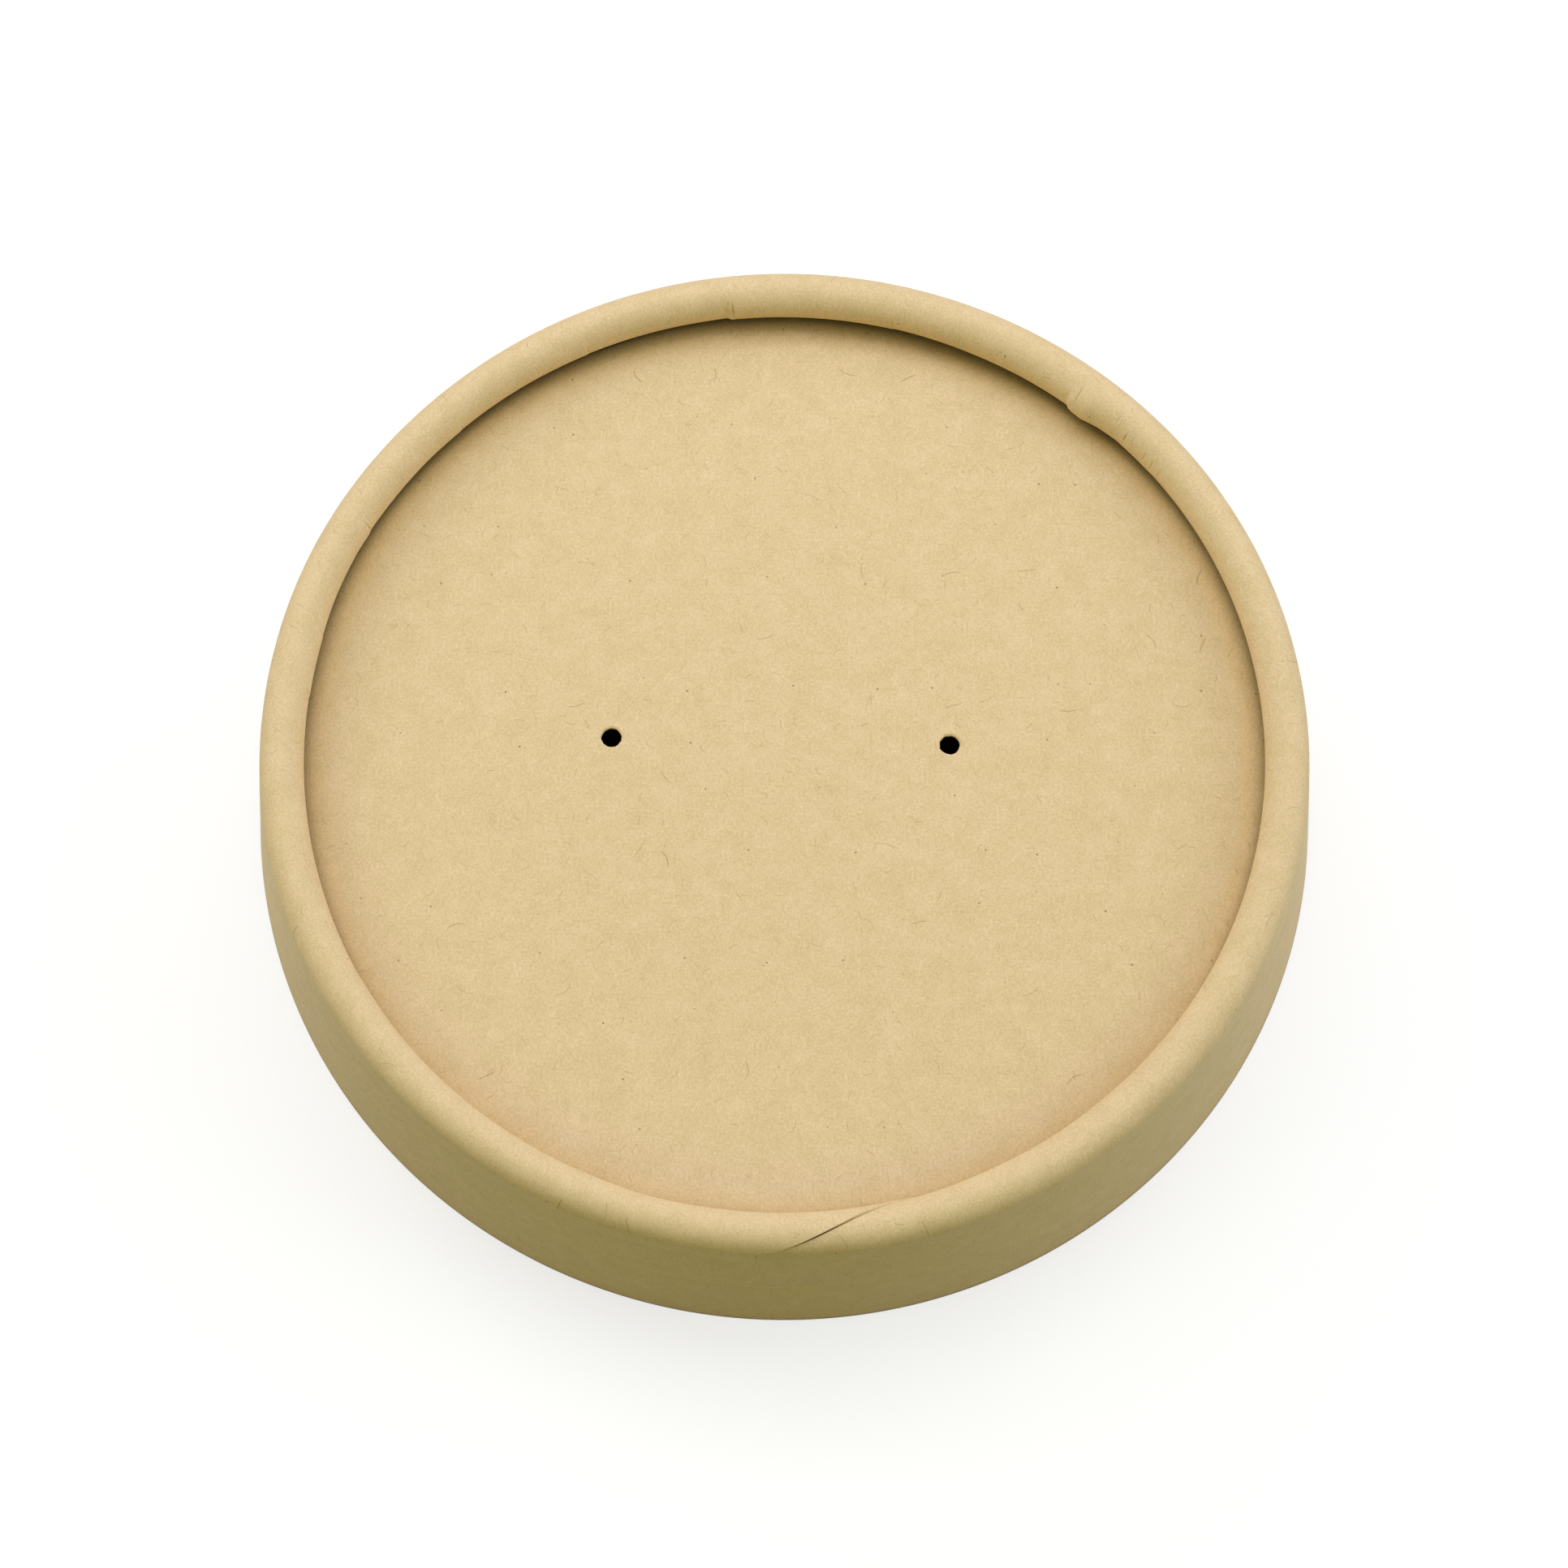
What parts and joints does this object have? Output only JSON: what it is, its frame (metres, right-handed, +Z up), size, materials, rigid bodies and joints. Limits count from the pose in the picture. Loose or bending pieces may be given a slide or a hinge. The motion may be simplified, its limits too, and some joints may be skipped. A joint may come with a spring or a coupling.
{
  "type": "vented soup container lid",
  "caption": "Round kraft paperboard lid with a flaring wall, a rolled rim bead and a recessed flat top pierced by small steam vents.",
  "frame": {"origin": "centre of the wall's open lower edge, on the surface that the lid stands on", "axes": "+Z up through the disc; -Y towards the side where the strip's ends lap on a slanting seam"},
  "size_m": [0.123, 0.123, 0.022],
  "materials": {
    "kraft_board": "matte"
  },
  "bodies": {
    "root": {"side_ring": "kraft_board", "vent_disc": "kraft_board"}
  },
  "joints": []
}
